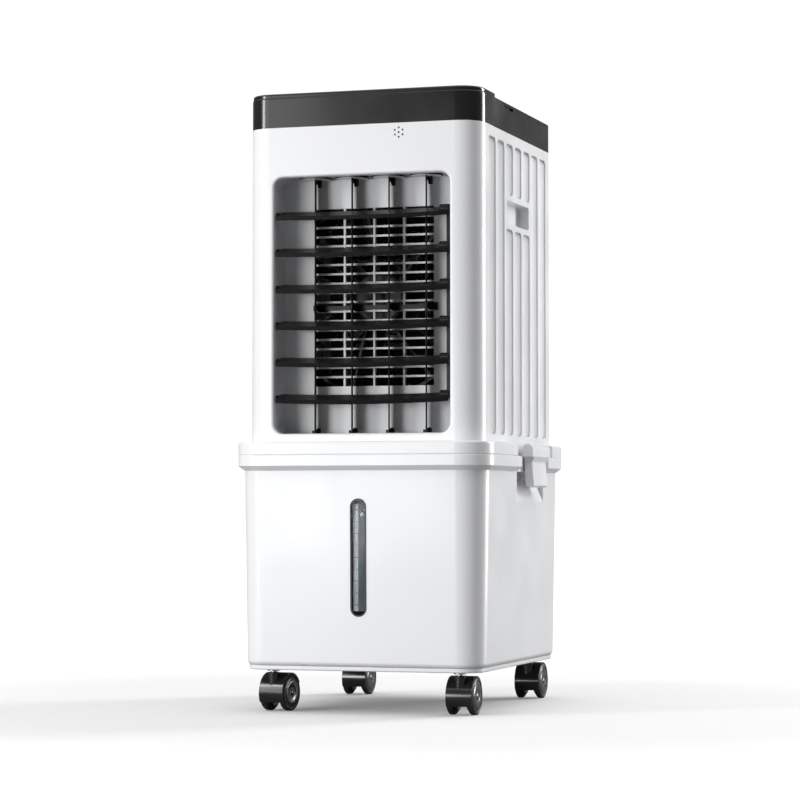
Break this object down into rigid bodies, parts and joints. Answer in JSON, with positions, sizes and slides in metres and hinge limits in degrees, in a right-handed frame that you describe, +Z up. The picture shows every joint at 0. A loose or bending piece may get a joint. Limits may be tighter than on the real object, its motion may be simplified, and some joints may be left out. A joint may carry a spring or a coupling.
{
  "type": "evaporative air cooler",
  "caption": "Upright evaporative air cooler with a louvred outlet over a water tank, ribbed sides, side latches, a glossy black top with a touch panel and lid, on swivel casters.",
  "frame": {"origin": "on the floor under the middle of the cooler", "axes": "+Z up; the air outlet faces -Y; +X is the right-hand side when facing the back wall from the front, with the water-level window towards -Y"},
  "size_m": [0.306, 0.354, 0.6797],
  "materials": {
    "white_shell": "satin moulded white",
    "black_blade": "satin black",
    "white_frame": "satin moulded white",
    "black_gloss": "polished black",
    "black_plastic": "fine-grained black",
    "seal_rubber": "matt",
    "tread": "satin",
    "steel": "plated",
    "motor_can": "semi-gloss",
    "window_clear": "clear moulded plastic",
    "pad_fibre": "matt",
    "mesh_cloth": "woven",
    "hose_rubber": "translucent",
    "board_green": "solder mask"
  },
  "bodies": {
    "cabinet": {"water_tank": "white_shell", "tank_base": "white_shell", "window_seal": "seal_rubber", "level_window": "window_clear", "caster_stems": "steel", "pump": "black_plastic", "water_hose": "hose_rubber", "deck": "white_shell", "housing": "white_shell", "outlet_duct": "white_shell", "outlet_grille": "white_frame", "fan_shroud": "black_plastic", "fan_motor": "motor_can", "swing_motor": "motor_can", "pad_holder": "white_shell", "cooling_pad": "pad_fibre", "water_tray": "white_shell", "top_cover": "black_gloss", "control_panel": "black_gloss", "control_board": "board_green", "lid_pin": "steel", "sounder": "black_plastic", "cord_gland": "black_plastic", "screws": "steel", "latch_pins": "steel"},
    "lid": {"fill_lid": "black_gloss"},
    "filter": {"filter_frame": "white_shell", "dust_filter": "mesh_cloth"},
    "latch_left": {"latch_left": "white_shell"},
    "latch_right": {"latch_right": "white_shell"},
    "fan": {"fan_impeller": "black_plastic", "motor_shaft": "steel"},
    "louvre_1": {"louvre_1": "black_blade"},
    "louvre_2": {"louvre_2": "black_blade"},
    "louvre_3": {"louvre_3": "black_blade"},
    "louvre_4": {"louvre_4": "black_blade"},
    "louvre_5": {"louvre_5": "black_blade"},
    "louvre_6": {"louvre_6": "black_blade"},
    "louvre_link": {"louvre_link": "black_blade"},
    "vane_1": {"vane_1": "black_blade"},
    "vane_2": {"vane_2": "black_blade"},
    "vane_3": {"vane_3": "black_blade"},
    "vane_4": {"vane_4": "black_blade"},
    "vane_link": {"vane_link": "black_blade"},
    "caster_front_left": {"hood_front_left": "black_gloss", "axle_front_left": "steel"},
    "wheel_front_left_l": {"wheel_front_left_l": "tread"},
    "wheel_front_left_r": {"wheel_front_left_r": "tread"},
    "caster_front_right": {"hood_front_right": "black_gloss", "axle_front_right": "steel"},
    "wheel_front_right_l": {"wheel_front_right_l": "tread"},
    "wheel_front_right_r": {"wheel_front_right_r": "tread"},
    "caster_rear_left": {"hood_rear_left": "black_gloss", "axle_rear_left": "steel"},
    "wheel_rear_left_l": {"wheel_rear_left_l": "tread"},
    "wheel_rear_left_r": {"wheel_rear_left_r": "tread"},
    "caster_rear_right": {"hood_rear_right": "black_gloss", "axle_rear_right": "steel"},
    "wheel_rear_right_l": {"wheel_rear_right_l": "tread"},
    "wheel_rear_right_r": {"wheel_rear_right_r": "tread"}
  },
  "joints": [
    {"name": "lid_hinge", "type": "hinge", "parent": "cabinet", "child": "lid", "pos_m": [0, 0.118, 0.6717], "axis": [-1, 0, 0], "range_deg": [0, 95]},
    {"name": "filter_pull", "type": "slide", "parent": "cabinet", "child": "filter", "axis": [0, 1, 0], "range_m": [0, 0.15]},
    {"name": "latch_left_hinge", "type": "hinge", "parent": "cabinet", "child": "latch_left", "pos_m": [-0.1469, 0.03, 0.2892], "axis": [0, 1, 0], "range_deg": [0, 40]},
    {"name": "latch_right_hinge", "type": "hinge", "parent": "cabinet", "child": "latch_right", "pos_m": [0.1469, 0.03, 0.2892], "axis": [0, -1, 0], "range_deg": [0, 40]},
    {"name": "fan_spin", "type": "hinge", "parent": "cabinet", "child": "fan", "pos_m": [0, -0.0795, 0.4567], "axis": [0, 1, 0], "continuous": true},
    {"name": "louvre_1_tilt", "type": "hinge", "parent": "cabinet", "child": "louvre_1", "pos_m": [0, -0.1499, 0.5459], "axis": [1, 0, 0], "range_deg": [-42, 22]},
    {"name": "louvre_2_tilt", "type": "hinge", "parent": "cabinet", "child": "louvre_2", "pos_m": [0, -0.1499, 0.5056], "axis": [1, 0, 0], "range_deg": [-42, 22]},
    {"name": "louvre_3_tilt", "type": "hinge", "parent": "cabinet", "child": "louvre_3", "pos_m": [0, -0.1499, 0.4653], "axis": [1, 0, 0], "range_deg": [-42, 22]},
    {"name": "louvre_4_tilt", "type": "hinge", "parent": "cabinet", "child": "louvre_4", "pos_m": [0, -0.1499, 0.425], "axis": [1, 0, 0], "range_deg": [-42, 22]},
    {"name": "louvre_5_tilt", "type": "hinge", "parent": "cabinet", "child": "louvre_5", "pos_m": [0, -0.1499, 0.3847], "axis": [1, 0, 0], "range_deg": [-42, 22]},
    {"name": "louvre_6_tilt", "type": "hinge", "parent": "cabinet", "child": "louvre_6", "pos_m": [0, -0.1499, 0.3444], "axis": [1, 0, 0], "range_deg": [-42, 22]},
    {"name": "louvre_link_pivot", "type": "hinge", "parent": "louvre_1", "child": "louvre_link", "pos_m": [0.094, -0.13893, 0.54936], "axis": [1, 0, 0], "range_deg": [-23, 43]},
    {"name": "vane_1_turn", "type": "hinge", "parent": "cabinet", "child": "vane_1", "pos_m": [-0.0642, -0.125, 0.5867], "axis": [0, 0, 1], "range_deg": [-50, 15]},
    {"name": "vane_2_turn", "type": "hinge", "parent": "cabinet", "child": "vane_2", "pos_m": [-0.0214, -0.125, 0.5867], "axis": [0, 0, 1], "range_deg": [-50, 15]},
    {"name": "vane_3_turn", "type": "hinge", "parent": "cabinet", "child": "vane_3", "pos_m": [0.0214, -0.125, 0.5867], "axis": [0, 0, 1], "range_deg": [-50, 15]},
    {"name": "vane_4_turn", "type": "hinge", "parent": "cabinet", "child": "vane_4", "pos_m": [0.0642, -0.125, 0.5867], "axis": [0, 0, 1], "range_deg": [-50, 15]},
    {"name": "vane_link_pivot", "type": "hinge", "parent": "vane_1", "child": "vane_link", "pos_m": [-0.06665, -0.11738, 0.4447], "axis": [0, 0, 1], "range_deg": [-16, 51]},
    {"name": "swivel_front_left", "type": "hinge", "parent": "cabinet", "child": "caster_front_left", "pos_m": [-0.107, -0.14, 0.035], "axis": [0, 0, 1], "continuous": true},
    {"name": "roll_front_left_l", "type": "hinge", "parent": "caster_front_left", "child": "wheel_front_left_l", "pos_m": [-0.10505, -0.12614, 0.02], "axis": [0.9903, -0.1392, 0], "continuous": true},
    {"name": "roll_front_left_r", "type": "hinge", "parent": "caster_front_left", "child": "wheel_front_left_r", "pos_m": [-0.10505, -0.12614, 0.02], "axis": [0.9903, -0.1392, 0], "continuous": true},
    {"name": "swivel_front_right", "type": "hinge", "parent": "cabinet", "child": "caster_front_right", "pos_m": [0.107, -0.14, 0.035], "axis": [0, 0, 1], "continuous": true},
    {"name": "roll_front_right_l", "type": "hinge", "parent": "caster_front_right", "child": "wheel_front_right_l", "pos_m": [0.107, -0.126, 0.02], "axis": [1, 0, 0], "continuous": true},
    {"name": "roll_front_right_r", "type": "hinge", "parent": "caster_front_right", "child": "wheel_front_right_r", "pos_m": [0.107, -0.126, 0.02], "axis": [1, 0, 0], "continuous": true},
    {"name": "swivel_rear_left", "type": "hinge", "parent": "cabinet", "child": "caster_rear_left", "pos_m": [-0.107, 0.14, 0.035], "axis": [0, 0, 1], "continuous": true},
    {"name": "roll_rear_left_l", "type": "hinge", "parent": "caster_rear_left", "child": "wheel_rear_left_l", "pos_m": [-0.107, 0.154, 0.02], "axis": [1, 0, 0], "continuous": true},
    {"name": "roll_rear_left_r", "type": "hinge", "parent": "caster_rear_left", "child": "wheel_rear_left_r", "pos_m": [-0.107, 0.154, 0.02], "axis": [1, 0, 0], "continuous": true},
    {"name": "swivel_rear_right", "type": "hinge", "parent": "cabinet", "child": "caster_rear_right", "pos_m": [0.107, 0.14, 0.035], "axis": [0, 0, 1], "continuous": true},
    {"name": "roll_rear_right_l", "type": "hinge", "parent": "caster_rear_right", "child": "wheel_rear_right_l", "pos_m": [0.107, 0.154, 0.02], "axis": [1, 0, 0], "continuous": true},
    {"name": "roll_rear_right_r", "type": "hinge", "parent": "caster_rear_right", "child": "wheel_rear_right_r", "pos_m": [0.107, 0.154, 0.02], "axis": [1, 0, 0], "continuous": true}
  ],
  "couplings": [
    {"joint": "louvre_2_tilt", "follows": "louvre_1_tilt", "ratio": 1},
    {"joint": "louvre_3_tilt", "follows": "louvre_1_tilt", "ratio": 1},
    {"joint": "louvre_4_tilt", "follows": "louvre_1_tilt", "ratio": 1},
    {"joint": "louvre_5_tilt", "follows": "louvre_1_tilt", "ratio": 1},
    {"joint": "louvre_6_tilt", "follows": "louvre_1_tilt", "ratio": 1},
    {"joint": "louvre_link_pivot", "follows": "louvre_1_tilt", "ratio": -1},
    {"joint": "vane_2_turn", "follows": "vane_1_turn", "ratio": 1},
    {"joint": "vane_3_turn", "follows": "vane_1_turn", "ratio": 1},
    {"joint": "vane_4_turn", "follows": "vane_1_turn", "ratio": 1},
    {"joint": "vane_link_pivot", "follows": "vane_1_turn", "ratio": -1}
  ]
}
